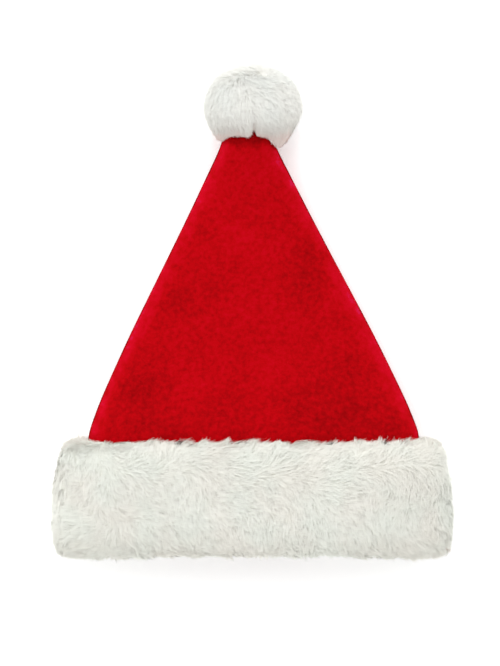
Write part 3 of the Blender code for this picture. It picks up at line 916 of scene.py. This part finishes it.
def pompomLengths(spots):
    share = (pompomHigh.y - spots[:, 1]) / pompomLength
    lengths = np.interp(share, pompomPile["shares"], pompomPile["lengths"])
    low = rise(share, *pompomPile["fringe"]) * (spots[:, 2] > pompomMiddle.z)
    for part in fringeShape:
        lengths *= 1 + part["longer"] * low * np.exp(-((spots[:, 0] - part["x"]) / part["half"]) ** 2)
    return lengths * mm


def pompomPaintedShade(spots):
    share = (pompomHigh.y - spots[:, 1]) / pompomLength
    where = {"low": share, "foot": share, "side": np.abs(spots[:, 0])}
    return sum(pompomShade[key][2] * rise(values, *pompomShade[key][:2]) for key, values in where.items())


pompomStrands = growFur(pompomBase, pompomFur, awayFromCrown, pompomNap, pompomLengths, pompomPaintedShade, 22)


def fringeWeight(middles, normals):
    share = (pompomHigh.y - middles[:, 1]) / pompomLength
    return (share > fringeFur["from"]) * (share < fringeFur["to"]) * 1.0


fringeFur = {**tuftFur, "from": 0.46, "to": 0.80, "strands": 8000, "locks": 90, "wisps": 1300,
             "lockSpread": (0.8, 1.1), "toneSpread": 0.11}
fringeStrands = growFur(pompomBase, fringeFur, fringeWeight, pompomNap, pompomLengths, pompomPaintedShade, 29)
for name, strands, count in (
    ("pompom_fur", pompomStrands, pompomFur["strands"]),
    ("pompom_fringe", fringeStrands, fringeFur["strands"]),
):
    piece = buildPart(name, strands, np.ones(count, dtype=bool))
    piece.data.materials.append(pompomMaterial)
    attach(piece, "root")

print("stage: crown pile")
pileFur = {"length": 3.2 * mm, "intoBand": 8 * mm, "under": -0.5, "underShare": 0.25,
           "swirls": ((14, 0.07, 30), (15, 0.02, 25)), "drape": 0.0, "strands": 212000,
           "locks": 3200, "wisps": 24000, "lengthSpread": (0.7, 1.2),
           "lockSpread": (0.85, 1.1), "lockTurn": 30, "wispTurn": 20, "wispLean": 10, "strandTurn": 14,
           "strandLean": 10, "leans": (48,), "shares": (1.0,), "pulls": (0.5,),
           "lockPulls": (0.2,), "sunk": 0.3 * mm, "roll": 30, "soft": 0.7, "skyward": 0.0,
           "width": 0.18 * mm, "taper": (1.0,), "tones": (0.1, 0.72), "toneSpread": 0.17, "lockTone": 1.1,
           "flecks": 0.03, "fleckTone": 0.6}


def outsideOnly(middles, normals):
    weights = np.ones(len(middles))
    tree = treeOf(crownCloth)
    for index in range(len(middles)):
        start = middles[index] + normals[index] * insideTest["off"]
        inBand = middles[index, 1] < brimHigh.y - pileFur["intoBand"]
        if inBand or facesHollow(tree, start.tolist(), normals[index].tolist()):
            weights[index] = 0.0
    weights[normals[:, 2] < pileFur["under"]] *= pileFur["underShare"]
    return weights


def pileNap(spots, normals):
    down = np.array([[0.0, -1.0, 0.0]])
    way = unit(down - normals * (normals @ down.T))
    return turned(way, normals, swirlOf(spots, pileFur["swirls"]))


def pileLengths(spots):
    return np.full(len(spots), pileFur["length"])


pileStrands = growFur(crownCloth, pileFur, outsideOnly, pileNap, pileLengths, plushPaintedLight, 23)
upper = pileStrands["ways"][:, 2] > 0.0
left = pileStrands["roots"][:, 0] < 0
for name, keep in (
    ("crown_pile_left", upper & left),
    ("crown_pile_right", upper & ~left),
    ("crown_pile_under", ~upper),
):
    piece = buildPart(name, pileStrands, keep)
    piece.data.materials.append(crownMaterial)
    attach(piece, "root")
    print(name, int(keep.sum()))

print("stage: floor, lights and camera")
deselectAll()
bpy.ops.mesh.primitive_plane_add(size=6, location=(0, 0, -0.0002))
floor = bpy.context.active_object
floor.name = "pale_floor"
floorBoard = Board("pale_floor_paint")
floor.data.materials.append(floorBoard.finish({"Base Color": (0.96, 0.96, 0.96, 1), "Roughness": 0.9,
                                               "Specular IOR Level": 0.1, "Emission Strength": 0.22,
                                               "Emission Color": (1, 1, 1, 1)}, {}))
floor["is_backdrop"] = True

world = bpy.data.worlds.new("studio")
bpy.context.scene.world = world
world.use_nodes = True
world.node_tree.nodes["Background"].inputs["Color"].default_value = (1, 1, 1, 1)
world.node_tree.nodes["Background"].inputs["Strength"].default_value = 1.0

lightPlan = {"key": {"place": (-0.6, 1.4, 2.4), "size": 2.6, "watts": 34}}
for name, plan in lightPlan.items():
    bpy.ops.object.light_add(type="AREA", location=plan["place"])
    lamp = bpy.context.active_object
    lamp.name = name
    lamp.data.size = plan["size"]
    lamp.data.energy = plan["watts"]
    lamp.rotation_euler = (Vector((0, 0, 0)) - Vector(plan["place"])).to_track_quat("-Z", "Y").to_euler()

cameraPlan = {"metresPerPixel": 0.00085, "pixels": (500, 666), "middle": (-0.0021, -0.0183), "level": 0.035,
              "distance": 2.2, "sensor": 36}
bpy.ops.object.camera_add(location=(*cameraPlan["middle"], cameraPlan["level"] + cameraPlan["distance"]),
                          rotation=(0, 0, 0))
camera = bpy.context.active_object
tall = cameraPlan["metresPerPixel"] * cameraPlan["pixels"][1]
camera.data.sensor_width = cameraPlan["sensor"]
camera.data.lens = cameraPlan["sensor"] * cameraPlan["distance"] / tall
camera.data.clip_end = 20
bpy.context.scene.camera = camera
bpy.context.scene.view_settings.view_transform = "Standard"

total = 0
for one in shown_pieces():
    one.data.calc_loop_triangles()
    total += len(one.data.loop_triangles)
    print("triangles", one.name, len(one.data.loop_triangles))
print("triangles in all", total)
